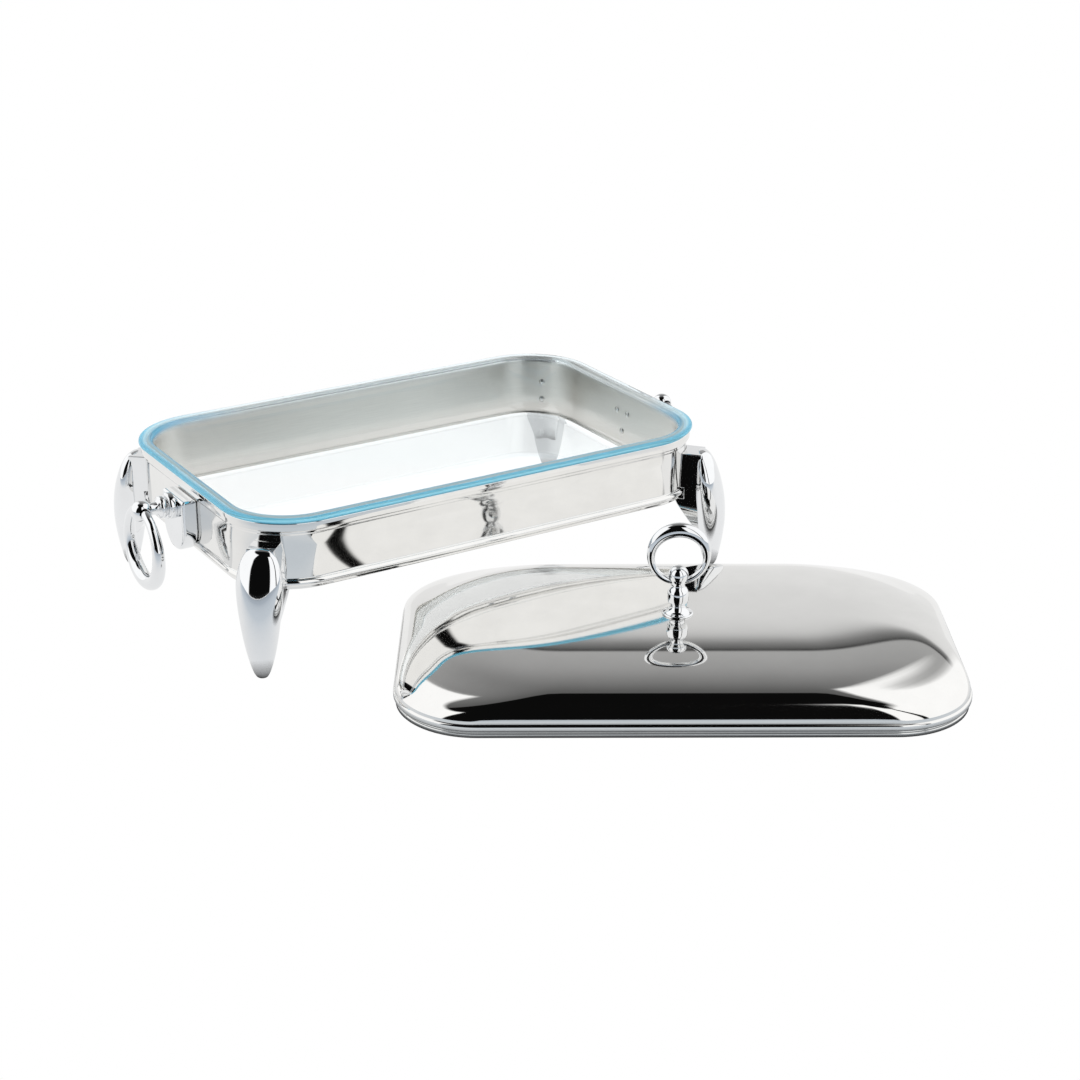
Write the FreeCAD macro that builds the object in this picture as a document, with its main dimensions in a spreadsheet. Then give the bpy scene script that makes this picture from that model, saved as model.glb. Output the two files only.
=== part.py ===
import FreeCAD, Part
import math
import os
import re
import Sketcher

# Chafing dish: a glass dish in a polished steel frame on four cast legs, with a
# drop ring at each end, and a domed lid that lies on the table in front of it.
# Frame of the model: origin on the table under the middle of the frame, +X along
# the frame's long side, +Z up.  All sizes are millimetres.

SIZES = {
    # frame band: a rounded rectangle of sheet steel with rolled beads
    "band_length": 391.6, "band_width": 243.6, "band_corner": 51.0,
    "band_bottom": 59.0, "band_height": 52.2, "band_sheet": 1.2,
    "lip_width": 5.0, "bead_out": 2.6, "bead_round": 2.5, "top_bead_round": 1.6,
    "low_bead_lift": 2.2, "low_bead_height": 5.8, "top_bead_height": 7.4,
    "step_out": 0.9, "step_height": 2.6,
    # glass dish
    "rim_length": 400.0, "rim_width": 252.0, "rim_corner": 55.2, "rim_thick": 3.2,
    "rim_flange": 10.5, "rim_round": 1.4, "basin_draft": 9.0, "basin_depth": 46.8,
    "glass_wall": 4.2, "basin_round": 13.0, "hollow_round": 9.0, "seat_gap": 0.1,
    # cast legs, measured outwards from the centre of the band's corner arc
    "arc_centre_x": 144.8, "arc_centre_y": 70.8, "lug_face": 51.02,
    "bead_face": 54.2, "lug_half_width": 11.5, "lug_top": 95.5,
    "bead_gap_low": 58.8, "bead_gap_top": 67.6,
    # rivets
    "rivet_radius": 1.5, "rivet_depth": 5.0, "rivet_head": 2.6, "rivet_dome": 1.3,
    "rivet_round": 1.2, "rivet_seat": 0.1, "leg_rivet_low": 75.6,
    "leg_rivet_step": 15.4,
    # end handles
    "bracket_width": 38.0, "bracket_top": 100.6, "bracket_low": 58.0,
    "bracket_deep": 12.0, "bracket_bead_gap": 3.0, "bracket_edge": 2.5,
    "handle_lift": 93.2, "handle_reach": 36.2,
    "boss_radius": 10.0, "boss_long": 5.4, "collar_radius": 8.4,
    "collar_long": 5.4, "post_groove": 0.9, "groove_radius": 6.0,
    "neck_radius": 4.6, "post_edge": 1.8,
    "ball_radius": 8.0, "eye_radius": 4.2,
    "ring_path": 28.0, "ring_play": 0.4, "ring_thin": 3.4, "ring_side": 4.6,
    "ring_thick": 5.8,
    "handle_rivet_half": 7.6, "handle_rivet_top": 91.9, "handle_rivet_drop": 16.4,
    # lid, in its own frame: under its middle, X along its long side
    "lid_length": 404.0, "lid_width": 248.0, "lid_corner": 60.0, "lid_sheet": 1.0,
    "lid_place_x": 71.9, "lid_place_y": -254.3, "lid_turn": -31.4,
    "flange_height": 3.2, "flange_inset": 1.6, "seat_inset": 3.0,
    "bead_low": 4.8, "lid_bead_round": 2.0, "dome_inset": 1.0, "lid_rim": 10.2,
    "lid_top": 37.0,
    # lid knob, measured up from the lid's top
    "foot_radius": 11.3, "foot_neck": 5.2, "foot_height": 7.4,
    "barrel_radius": 7.7, "barrel_long": 13.4, "knob_edge": 3.0,
    "knob_neck": 5.0, "knob_ball": 7.2, "knob_ball_lift": 30.0,
    "knob_path": 20.0, "knob_path_lift": 14.7, "knob_thin": 2.3,
    "knob_side": 3.0, "knob_thick": 5.3,
    "screw_radius": 2.0, "screw_long": 12.0, "screw_head": 4.0,
    "screw_head_height": 2.4, "lid_hole": 2.3, "washer_radius": 7.0,
    "washer_thick": 1.0,
}
CORNERS = {
    "front_left": (-1, -1, 225), "front_right": (1, -1, 315),
    "back_left": (-1, 1, 135), "back_right": (1, 1, 45),
}
ENDS = {"left": (-1, 180), "right": (1, 0)}
RING_SECTIONS = 16
# Leg sections from the top down: height, inner reach, outer reach, half width.
LEG_SECTIONS = (
    (96.0, 60.5, 66.5, 7.5), (91.0, 60.0, 71.6, 12.0), (83.0, 59.5, 75.8, 15.4),
    (71.0, 59.0, 80.0, 17.4), (57.0, 59.0, 83.0, 16.6), (42.0, 60.0, 84.0, 14.6),
    (28.0, 62.0, 83.0, 12.6), (15.0, 64.8, 81.0, 9.8), (5.0, 68.0, 78.8, 6.6),
    (0.0, 70.4, 76.4, 3.4),
)
LEG_LETTERS = "abcdefghij"
# Side outline of the web behind each leg, clockwise: reach, height.
WEB_OUTLINE = (
    (45.0, 95.5), (65.5, 95.0), (69.0, 60.0), (68.5, 32.0), (63.0, 30.0),
    (60.0, 34.0), (56.0, 40.0), (51.4, 47.0), (47.4, 53.4), (45.0, 58.8),
)
# Share of the lid's half width at which each dome section stands in from the rim.
DOME_STEPS = (0.0, 0.015, 0.05, 0.11, 0.2, 0.34, 0.5, 0.68, 0.86)
DOME_POWER = 5.3
# The dome's corners widen as it rises, up to this share of its half width.
CORNER_GROWTH = 3.6
CORNER_LIMIT = 0.92
CORNER_BLEND = 8
for letter, section in zip(LEG_LETTERS, LEG_SECTIONS):
    for part, value in zip(("height", "inner", "outer", "half"), section):
        SIZES[f"leg_{letter}_{part}"] = value

# Where a sketch's corner arc and the bracket's shield start before they are bound.
FIRST_ARC = (140.0, 70.0, 30.0)
FIRST_SHIELD = (19.0, 58.0, 100.0)

doc = FreeCAD.newDocument("chafing_dish")
sheet = doc.addObject("Spreadsheet::Sheet", "Sizes")
for row, (alias, value) in enumerate(SIZES.items(), start=1):
    sheet.set(f"A{row}", alias)
    sheet.set(f"B{row}", str(value))
    sheet.setAlias(f"B{row}", alias)
doc.recompute()
NODES = []


def bind(item, **expressions):
    """Tie properties of an item to the sheet; __ stands for a dot in a name."""
    for name, text in expressions.items():
        text = re.sub(r"[a-z_]+", lambda word: "Sizes." + word.group()
                      if word.group() in SIZES else word.group(), text)
        item.setExpression(name.replace("__", "."), text)


def node(item, label):
    """Give a finished sub-part the name that its file takes."""
    item.Label = label
    NODES.append(item)
    return item


def new_body(name):
    body = doc.addObject("PartDesign::Body", name)
    body.Label = name + "_body"
    return body


def origin_plane(body, role):
    return next(item for item in body.Origin.OriginFeatures if item.Role == role)


def sketch_on(body, name, role, lift):
    sketch = body.newObject("Sketcher::SketchObject", name)
    sketch.AttachmentSupport = [(origin_plane(body, role), "")]
    sketch.MapMode = "FlatFace"
    bind(sketch, AttachmentOffset__Base__z=lift)
    return sketch


def rounded_rectangle(body, name, length, width, corner, lift):
    """Sketch of a rounded rectangle about the body's axis, at a height."""
    sketch = sketch_on(body, name, "XY_Plane", lift)
    arc_x, arc_y, radius = FIRST_ARC
    quarter = math.pi / 2
    centres = ((1, -1), (1, 1), (-1, 1), (-1, -1))
    for index, (side_x, side_y) in enumerate(centres):
        start = (index - 1) * quarter
        centre = FreeCAD.Vector(side_x * arc_x, side_y * arc_y, 0)
        circle = Part.Circle(centre, FreeCAD.Vector(0, 0, 1), radius)
        arc = Part.ArcOfCircle(circle, start, start + quarter)
        before = FreeCAD.Vector(math.cos(start), math.sin(start), 0) * radius
        along = FreeCAD.Vector(math.sin(start), -math.cos(start), 0)
        reach = 2 * (arc_x if index % 2 == 0 else arc_y)
        end = centre + before
        sketch.addGeometry(Part.LineSegment(end + along * reach, end))
        sketch.addGeometry(arc)
    for index in range(8):
        sketch.addConstraint(
            Sketcher.Constraint("Tangent", index, 2, (index + 1) % 8, 1))
    for line, kind in ((0, "Horizontal"), (2, "Vertical"),
                       (4, "Horizontal"), (6, "Vertical")):
        sketch.addConstraint(Sketcher.Constraint(kind, line))
    for first in (1, 3, 5):
        sketch.addConstraint(Sketcher.Constraint("Equal", first, first + 2))
    sketch.addConstraint(Sketcher.Constraint("Symmetric", 1, 3, 5, 3, -1, 1))
    long_side = sketch.addConstraint(
        Sketcher.Constraint("DistanceX", 6, 1, 2, 1, 2 * (arc_x + radius)))
    short_side = sketch.addConstraint(
        Sketcher.Constraint("DistanceY", 0, 1, 4, 1, 2 * (arc_y + radius)))
    round_side = sketch.addConstraint(Sketcher.Constraint("Radius", 1, radius))
    for place, text in ((round_side, corner), (short_side, width), (long_side, length)):
        bind(sketch, **{f"Constraints[{place}]": text})
    return sketch


def pad(body, sketch, length):
    item = body.newObject("PartDesign::Pad", sketch.Name + "_pad")
    item.Profile = sketch
    bind(item, Length=length)
    return item


def pocket(body, sketch, length, upwards=False):
    """Cut a pocket from a sketch and make sure that it takes material away."""
    doc.recompute()
    before = body.Shape.Volume
    item = body.newObject("PartDesign::Pocket", sketch.Name + "_pocket")
    item.Profile = sketch
    item.Reversed = upwards
    bind(item, Length=length)
    doc.recompute()
    if not body.Shape.Volume < before - 1.0:
        raise ValueError(f"{item.Name} cuts nothing")
    return item


def loft(body, kind, name, sketches):
    item = body.newObject("PartDesign::" + kind, name)
    item.Profile = sketches[0]
    item.Sections = sketches[1:]
    return item


def fillet(body, name, radius, wanted):
    """Round every edge of the body whose vertices all pass a test."""
    doc.recompute()
    base = body.Tip
    edges = [f"Edge{index}" for index, edge in enumerate(base.Shape.Edges, start=1)
             if all(wanted(vertex.Point) for vertex in edge.Vertexes)]
    if not edges:
        raise ValueError(f"{name} finds no edge")
    item = body.newObject("PartDesign::Fillet", name)
    item.Base = (base, edges)
    bind(item, Radius=radius)
    return item


def near(value, target):
    return abs(value - target) < 0.02


def on_outline(length, width, height):
    """Test for a point on a rounded rectangle's outline at a height."""
    def test(point):
        on_side = near(abs(point.x), length / 2) or near(abs(point.y), width / 2)
        return near(point.z, height) and on_side
    return test


def solid(kind, name, **sizes):
    item = doc.addObject("Part::" + kind, name)
    bind(item, **sizes)
    return item


def turned_stack(name, stages, lift, reach):
    """Cylinders laid one after another along X, from a reach out and at a height."""
    items = []
    for index, (start, radius, length) in enumerate(stages):
        item = solid("Cylinder", f"{name}_{index}", Radius=radius, Height=length)
        item.Placement.Rotation = FreeCAD.Rotation(FreeCAD.Vector(0, 1, 0), 90)
        bind(item, Placement__Base__x=f"{reach} + {start}", Placement__Base__z=lift)
        items.append(item)
    return items


def fuse(name, items):
    item = doc.addObject("Part::MultiFuse", name)
    item.Shapes = items
    return item


def cut(name, base, tool):
    item = doc.addObject("Part::Cut", name)
    item.Base = base
    item.Tool = tool
    return item


def round_edges(name, base, radius, wanted):
    """Part fillet on the edges of a base whose own middle passes a test."""
    doc.recompute()
    item = doc.addObject("Part::Fillet", name)
    item.Base = base
    value = SIZES[radius]
    item.Edges = [(index, value, value) for index, edge in enumerate(base.Shape.Edges, start=1)
                  if wanted(edge)]
    return item


def is_circle(edge, radius):
    return isinstance(edge.Curve, Part.Circle) and near(edge.Curve.Radius, radius)


def tapered_ring(name, path, thin, side, thick, plane, lift):
    """Ring of round section, thin at one side and thick at the other.

    The first size is at the top.  The ring stands in the plane given, with its
    middle at the height given.
    """
    sections = []
    for index in range(RING_SECTIONS):
        angle = 360.0 * index / RING_SECTIONS
        swing = (f"(({thin} + {thick} + 2 * {side}) / 4"
                 f" + ({thin} - {thick}) / 2 * cos({angle})"
                 f" + ({thin} + {thick} - 2 * {side}) / 4 * cos({2 * angle}))")
        circle = solid("Circle", f"{name}_section_{index}", Radius=swing)
        if plane == "XZ":
            turn = FreeCAD.Rotation(FreeCAD.Vector(0, 1, 0), 90 + angle)
            bind(circle, Placement__Base__x=f"{path} * sin({angle})")
        else:
            turn = FreeCAD.Rotation(FreeCAD.Vector(1, 0, 0), -90 - angle)
            bind(circle, Placement__Base__y=f"{path} * sin({angle})")
        circle.Placement.Rotation = turn
        bind(circle, Placement__Base__z=f"{lift} + {path} * cos({angle})")
        sections.append(circle)
    item = doc.addObject("Part::Loft", name)
    item.Sections = sections
    item.Solid = True
    item.Closed = True
    return item


def make_band():
    """Sheet-steel band with a turned-in lip, rolled beads and a small step."""
    body = new_body("band")
    outline = ("band_length", "band_width", "band_corner")
    wall = rounded_rectangle(body, "wall", *outline, "band_bottom")
    pad(body, wall, "band_height")
    beads = (
        ("low_bead", "bead_out", "band_bottom + low_bead_lift", "low_bead_height"),
        ("step", "step_out", "band_bottom + band_height - top_bead_height - step_height",
         "step_height"),
        ("top_bead", "bead_out", "band_bottom + band_height - top_bead_height",
         "top_bead_height"),
    )
    for name, out, lift, height in beads:
        around = [f"{text} + 2 * {out}" for text in outline[:2]]
        ring = rounded_rectangle(body, name, *around, f"band_corner + {out}", lift)
        pad(body, ring, height)
    inside = [f"{text} - 2 * band_sheet" for text in outline[:2]]
    hollow = rounded_rectangle(
        body, "hollow", *inside, "band_corner - band_sheet", "band_bottom + band_sheet")
    pocket(body, hollow, "band_height", upwards=True)
    opening = [f"{text} - 2 * lip_width" for text in outline[:2]]
    lip = rounded_rectangle(
        body, "lip", *opening, "band_corner - lip_width", "band_bottom")
    pocket(body, lip, "band_sheet", upwards=True)
    out = 2 * SIZES["bead_out"]
    length = SIZES["band_length"] + out
    width = SIZES["band_width"] + out
    low = SIZES["band_bottom"] + SIZES["low_bead_lift"]
    top = SIZES["band_bottom"] + SIZES["band_height"]
    fillet(body, "low_bead_rounds", "bead_round", lambda point: any(
        on_outline(length, width, height)(point)
        for height in (low, low + SIZES["low_bead_height"])))
    fillet(body, "top_bead_rounds", "top_bead_round", lambda point: any(
        on_outline(length, width, height)(point)
        for height in (top - SIZES["top_bead_height"], top)))
    return body


def rivet_holes(name, axis):
    """Tools that drill the band, and the casting behind it, for one group."""
    places = LEG_RIVETS if axis == "leg" else HANDLE_RIVETS
    face = "lug_face" if axis == "leg" else "band_length / 2"
    tools = []
    for index, (across, height) in enumerate(places):
        tool = solid("Cylinder", f"{name}_drill_{index}", Radius="rivet_radius",
                     Height="rivet_depth + 2 * band_sheet")
        tool.Placement.Rotation = FreeCAD.Rotation(FreeCAD.Vector(0, 1, 0), 90)
        bind(tool, Placement__Base__x=f"{face} - 2 * band_sheet",
             Placement__Base__y=across, Placement__Base__z=height)
        tools.append(tool)
    return fuse(name + "_drills", tools)


def rivets(name, axis):
    """Round-headed rivets, heads inside the band, shanks in the casting."""
    places = LEG_RIVETS if axis == "leg" else HANDLE_RIVETS
    face = "lug_face" if axis == "leg" else "band_length / 2"
    links = []
    for index, (across, height) in enumerate(places):
        shank = solid("Cylinder", f"{name}_shank_{index}", Radius="rivet_radius",
                      Height="rivet_depth + band_sheet")
        head = solid("Cylinder", f"{name}_head_{index}", Radius="rivet_head",
                     Height="rivet_dome")
        dome = round_edges(f"{name}_dome_{index}", head, "rivet_round", lambda edge:
                           is_circle(edge, SIZES["rivet_head"]) and near(edge.Curve.Center.z, 0))
        for item, back in ((shank, "0"), (dome, "rivet_dome")):
            item.Placement.Rotation = FreeCAD.Rotation(FreeCAD.Vector(0, 1, 0), 90)
            bind(item, Placement__Base__x=f"{face} - band_sheet - rivet_seat - {back}",
                 Placement__Base__y=across, Placement__Base__z=height)
        links.append(fuse(f"{name}_{index}", [shank, dome]))
    group = doc.addObject("Part::Compound", name)
    group.Links = links
    return group


LEG_RIVETS = (("0", "leg_rivet_low"), ("0", "leg_rivet_low + leg_rivet_step"))
HANDLE_RIVETS = (
    ("handle_rivet_half", "handle_rivet_top"), ("-handle_rivet_half", "handle_rivet_top"),
    ("0", "handle_rivet_top - handle_rivet_drop"),
)


def place_leg(item, side_x, side_y, turn):
    """Stand an item made at the leg's own frame at its corner of the band."""
    item.Placement.Rotation = FreeCAD.Rotation(FreeCAD.Vector(0, 0, 1), turn)
    bind(item, Placement__Base__x=f"{side_x} * arc_centre_x",
         Placement__Base__y=f"{side_y} * arc_centre_y")


def make_leg(name):
    """Tusk-shaped leg with the web that carries it, in the leg's own frame."""
    sections = []
    for letter in LEG_LETTERS:
        own = f"leg_{letter}_"
        section = solid("Ellipse", f"{name}_section_{letter}", MajorRadius=own + "half",
                        MinorRadius=f"({own}outer - {own}inner) / 2",
                        Placement__Base__x=f"({own}outer + {own}inner) / 2",
                        Placement__Base__z=own + "height")
        section.Placement.Rotation = FreeCAD.Rotation(FreeCAD.Vector(0, 0, 1), 90)
        sections.append(section)
    tusk = doc.addObject("Part::Loft", name + "_tusk")
    tusk.Sections = sections
    tusk.Solid = True
    outline = doc.addObject("Sketcher::SketchObject", name + "_outline")
    outline.Placement.Rotation = FreeCAD.Rotation(FreeCAD.Vector(1, 0, 0), 90)
    points = [FreeCAD.Vector(reach, height, 0) for reach, height in WEB_OUTLINE]
    for start, end in zip(points, points[1:] + points[:1]):
        outline.addGeometry(Part.LineSegment(start, end))
    for line in range(len(points)):
        outline.addConstraint(
            Sketcher.Constraint("Coincident", line, 2, (line + 1) % len(points), 1))
    web = doc.addObject("Part::Extrusion", name + "_web")
    web.Base = outline
    web.DirMode = "Normal"
    web.Solid = True
    web.Symmetric = True
    bind(web, LengthFwd="2 * lug_half_width")
    blank = fuse(name + "_blank", [tusk, web])
    wall = solid("Cylinder", name + "_wall", Radius="lug_face",
                 Height="lug_top - bead_gap_low + 10",
                 Placement__Base__z="bead_gap_low")
    bead = solid("Cylinder", name + "_bead", Radius="bead_face",
                 Height="bead_gap_top - bead_gap_low",
                 Placement__Base__z="bead_gap_low")
    tools = fuse(name + "_tools", [wall, bead, rivet_holes(name, "leg")])
    return cut(name, blank, tools)


def make_bracket(name):
    """Shield-shaped casting that stands off the end wall."""
    body = new_body(name)
    sketch = sketch_on(body, name + "_shield", "YZ_Plane", "band_length / 2")
    half, low, top = FIRST_SHIELD
    bend = low + half
    corners = [FreeCAD.Vector(half, bend, 0), FreeCAD.Vector(half, top, 0),
               FreeCAD.Vector(-half, top, 0), FreeCAD.Vector(-half, bend, 0)]
    for start, end in zip(corners, corners[1:]):
        sketch.addGeometry(Part.LineSegment(start, end))
    circle = Part.Circle(FreeCAD.Vector(0, bend, 0), FreeCAD.Vector(0, 0, 1), half)
    sketch.addGeometry(Part.ArcOfCircle(circle, math.pi, 2 * math.pi))
    rules = (("Coincident", 0, 2, 1, 1), ("Coincident", 1, 2, 2, 1), ("Tangent", 2, 2, 3, 1),
             ("Tangent", 3, 2, 0, 1), ("Horizontal", 1), ("Vertical", 0), ("Vertical", 2))
    for rule in rules:
        sketch.addConstraint(Sketcher.Constraint(*rule))
    sketch.addConstraint(Sketcher.Constraint("PointOnObject", 3, 3, -2))
    radius = sketch.addConstraint(Sketcher.Constraint("Radius", 3, half))
    height = sketch.addConstraint(Sketcher.Constraint("DistanceY", -1, 1, 1, 1, top))
    centre = sketch.addConstraint(Sketcher.Constraint("DistanceY", -1, 1, 3, 3, bend))
    bind(sketch, **{f"Constraints[{radius}]": "bracket_width / 2",
                    f"Constraints[{height}]": "bracket_top",
                    f"Constraints[{centre}]": "bracket_low + bracket_width / 2"})
    pad(body, sketch, "bracket_deep")
    face = SIZES["band_length"] / 2 + SIZES["bracket_deep"]
    fillet(body, name + "_edge", "bracket_edge", lambda point: near(point.x, face))
    doc.recompute()
    relief = solid("Box", name + "_relief", Length="bracket_bead_gap",
                   Width="bracket_width + 2", Height="bead_gap_top - bracket_low + 1",
                   Placement__Base__x="band_length / 2",
                   Placement__Base__y="-bracket_width / 2 - 1",
                   Placement__Base__z="bracket_low - 1")
    tools = fuse(name + "_tools", [relief, rivet_holes(name, "handle")])
    return cut(name + "_cut", body, tools)


def make_post(name):
    """Turned post with two collars and a pierced ball at its end."""
    start = "band_length / 2 + bracket_deep"
    stages = (
        ("0", "boss_radius", "boss_long"),
        ("boss_long", "groove_radius", "post_groove"),
        ("boss_long + post_groove", "collar_radius", "collar_long"),
        ("boss_long + post_groove + collar_long", "neck_radius",
         "handle_reach - bracket_deep - boss_long - post_groove - collar_long"),
    )
    boss, groove, collar, neck = turned_stack(name, stages, "handle_lift", start)
    rounded = [groove, neck]
    for item, radius in ((boss, SIZES["boss_radius"]), (collar, SIZES["collar_radius"])):
        rounded.append(round_edges(item.Name + "_round", item, "post_edge",
                                   lambda edge: is_circle(edge, radius)))
    ball = solid("Sphere", name + "_ball", Radius="ball_radius",
                 Placement__Base__x="band_length / 2 + handle_reach",
                 Placement__Base__z="handle_lift")
    eye = solid("Cylinder", name + "_eye", Radius="eye_radius", Height="4 * ball_radius",
                Placement__Base__x="band_length / 2 + handle_reach",
                Placement__Base__y="2 * ball_radius", Placement__Base__z="handle_lift")
    eye.Placement.Rotation = FreeCAD.Rotation(FreeCAD.Vector(1, 0, 0), 90)
    return cut(name, fuse(name + "_blank", rounded + [ball]), eye)


def make_dish():
    """Glass dish: drafted basin with a flat flange and rounded corners."""
    body = new_body("dish")
    top = "band_bottom + band_height + seat_gap"
    low = f"{top} - basin_depth"
    wide = "rim_flange - glass_wall"

    def ring(name, inset, lift):
        return rounded_rectangle(body, name, f"rim_length - 2 * ({inset})",
                                 f"rim_width - 2 * ({inset})",
                                 f"rim_corner - ({inset})", lift)

    rim = ring("rim", "0", top)
    pad(body, rim, "rim_thick")
    loft(body, "AdditiveLoft", "basin", [
        ring("basin_top", wide, f"{top} + rim_thick / 2"),
        ring("basin_low", f"{wide} + basin_draft", low)])
    loft(body, "SubtractiveLoft", "hollow", [
        ring("hollow_top", "rim_flange", f"{top} + rim_thick"),
        ring("hollow_low", "rim_flange + basin_draft", f"{low} + glass_wall")])
    rim_low = SIZES["band_bottom"] + SIZES["band_height"] + SIZES["seat_gap"]
    rim_top = rim_low + SIZES["rim_thick"]
    floor = rim_low - SIZES["basin_depth"]
    length, width = SIZES["rim_length"], SIZES["rim_width"]
    fillet(body, "floor_round", "hollow_round",
           lambda point: near(point.z, floor + SIZES["glass_wall"]))
    fillet(body, "basin_edge", "basin_round", lambda point: near(point.z, floor))
    fillet(body, "rim_edge", "rim_round", lambda point: any(
        on_outline(length, width, height)(point) for height in (rim_low, rim_top)))
    return body


def dome_section(body, name, share, sheet_in):
    """One outline of the lid's dome, a share of the half width in from the rim."""
    half = SIZES["lid_width"] / 2
    wide = SIZES["lid_corner"] + CORNER_GROWTH * share * half
    tight = CORNER_LIMIT * half * (1 - share)
    corner = (wide ** -CORNER_BLEND + tight ** -CORNER_BLEND) ** (-1 / CORNER_BLEND)
    inset = f"(lid_width * {share} + 2 * dome_inset + 2 * {sheet_in})"
    rise = (f"lid_rim + (lid_top - lid_rim)"
            f" * (1 - (1 - {share}) ^ {DOME_POWER}) ^ 0.5 - {sheet_in}")
    if share == DOME_STEPS[-1]:
        rise = f"lid_top - {sheet_in}"
    return rounded_rectangle(body, name, f"lid_length - {inset}", f"lid_width - {inset}",
                             f"lid_corner * {corner / SIZES['lid_corner']} - {sheet_in}", rise)


def make_lid():
    """Domed sheet-steel lid with a rolled rim that rests on the glass flange."""
    body = new_body("lid")

    def ring(name, inset, lift):
        return rounded_rectangle(body, name, f"lid_length - 2 * ({inset})",
                                 f"lid_width - 2 * ({inset})",
                                 f"lid_corner - ({inset})", lift)

    pad(body, ring("flange", "flange_inset", "0"), "flange_height")
    pad(body, ring("seat", "seat_inset", "flange_height"), "bead_low - flange_height")
    pad(body, ring("bead", "0", "bead_low"), "lid_rim - bead_low")
    length, width = SIZES["lid_length"], SIZES["lid_width"]
    fillet(body, "bead_rounds", "lid_bead_round", lambda point: any(
        on_outline(length, width, SIZES[height])(point) for height in ("bead_low", "lid_rim")))
    loft(body, "AdditiveLoft", "dome", [
        dome_section(body, f"dome_{index}", share, "0")
        for index, share in enumerate(DOME_STEPS)])
    pocket(body, ring("flange_hollow", "flange_inset + lid_sheet", "0"),
           "flange_height - lid_sheet", upwards=True)
    pocket(body, ring("seat_hollow", "seat_inset + lid_sheet", "0"),
           "lid_rim - lid_sheet", upwards=True)
    pocket(body, ring("bead_hollow", "lid_sheet", "bead_low + lid_sheet"),
           "lid_rim - bead_low - 2 * lid_sheet", upwards=True)
    loft(body, "SubtractiveLoft", "dome_hollow", [
        dome_section(body, f"dome_hollow_{index}", share, "lid_sheet")
        for index, share in enumerate(DOME_STEPS)])
    hole = solid("Cylinder", "lid_hole", Radius="lid_hole", Height="10 * lid_sheet",
                 Placement__Base__z="lid_top - 5 * lid_sheet")
    return cut("lid_cut", body, hole)


def make_knob():
    """Pieces of the lid's knob, each in the lid's own frame."""
    foot = solid("Cone", "foot", Radius1="foot_radius", Radius2="foot_neck",
                 Height="foot_height", Placement__Base__z="lid_top")
    bore = solid("Cylinder", "foot_bore", Radius="screw_radius", Height="foot_height",
                 Placement__Base__z="lid_top")
    ring = tapered_ring("knob_ring", "knob_path", "knob_thick", "knob_side", "knob_thin",
                        "XZ", "lid_top + knob_ball_lift + knob_path_lift")
    barrel = solid("Cylinder", "barrel", Radius="barrel_radius", Height="barrel_long",
                   Placement__Base__z="lid_top + foot_height")
    shoulders = round_edges("barrel_round", barrel, "knob_edge",
                            lambda edge: is_circle(edge, SIZES["barrel_radius"]))
    neck = solid("Cylinder", "knob_neck_turned", Radius="knob_neck",
                 Height="knob_ball_lift - foot_height",
                 Placement__Base__z="lid_top + foot_height")
    ball = solid("Sphere", "knob_ball_turned", Radius="knob_ball",
                 Placement__Base__z="lid_top + knob_ball_lift")
    tapped = solid("Cylinder", "knob_tapped", Radius="screw_radius",
                   Height="screw_long - foot_height + 4 * lid_sheet",
                   Placement__Base__z="lid_top + foot_height")
    tools = fuse("knob_tools", [tapped, ring])
    post = cut("knob_post", fuse("knob_blank", [shoulders, neck, ball]), tools)
    washer_disc = solid("Cylinder", "washer_disc", Radius="washer_radius",
                        Height="washer_thick",
                        Placement__Base__z="lid_top - lid_sheet - washer_thick")
    washer_bore = solid("Cylinder", "washer_bore", Radius="lid_hole", Height="washer_thick",
                        Placement__Base__z="lid_top - lid_sheet - washer_thick")
    seat = "lid_top - lid_sheet - washer_thick"
    head = solid("Cylinder", "screw_head_turned", Radius="screw_head",
                 Height="screw_head_height", Placement__Base__z=f"{seat} - screw_head_height")
    shank = solid("Cylinder", "screw_shank", Radius="screw_radius", Height="screw_long",
                  Placement__Base__z=seat)
    return {
        "lid_knob_foot": cut("foot_turned", foot, bore),
        "lid_knob_post": post,
        "lid_knob_ring": ring,
        "lid_knob_washer": cut("washer_turned", washer_disc, washer_bore),
        "lid_knob_screw": fuse("screw", [head, shank]),
    }


def place_end(item, side, turn, reach="0", lift="0"):
    item.Placement.Rotation = FreeCAD.Rotation(FreeCAD.Vector(0, 0, 1), turn)
    bind(item, Placement__Base__x=f"{side} * ({reach})", Placement__Base__z=lift)


def place_lid(item):
    bind(item, Placement__Base__x="lid_place_x", Placement__Base__y="lid_place_y",
         Placement__Rotation__Angle="lid_turn")


# The band is drilled for every rivet, so the drills are made with the pieces
# that the rivets hold.
band_drills = []
for corner, (side_x, side_y, turn) in CORNERS.items():
    leg = make_leg("cast_" + corner)
    place_leg(leg, side_x, side_y, turn)
    node(leg, "leg_" + corner)
    pair = rivets("leg_pair_" + corner, "leg")
    place_leg(pair, side_x, side_y, turn)
    node(pair, "leg_rivets_" + corner)
    drills = rivet_holes("band_" + corner, "leg")
    place_leg(drills, side_x, side_y, turn)
    band_drills.append(drills)
for end, (side, turn) in ENDS.items():
    bracket = make_bracket("bracket_" + end)
    place_end(bracket, side, turn)
    node(bracket, "handle_bracket_" + end)
    post = make_post("post_" + end)
    place_end(post, side, turn)
    node(post, "handle_post_" + end)
    trio = rivets("bracket_rivets_" + end, "handle")
    place_end(trio, side, turn)
    node(trio, "handle_rivets_" + end)
    ring = tapered_ring("ring_" + end, "ring_path", "ring_thin", "ring_side", "ring_thick",
                        "YZ", "0")
    place_end(ring, side, turn, "band_length / 2 + handle_reach",
              "handle_lift + ring_play - ring_path")
    node(ring, "handle_ring_" + end)
    drills = rivet_holes("band_" + end, "handle")
    place_end(drills, side, turn)
    band_drills.append(drills)
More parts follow.
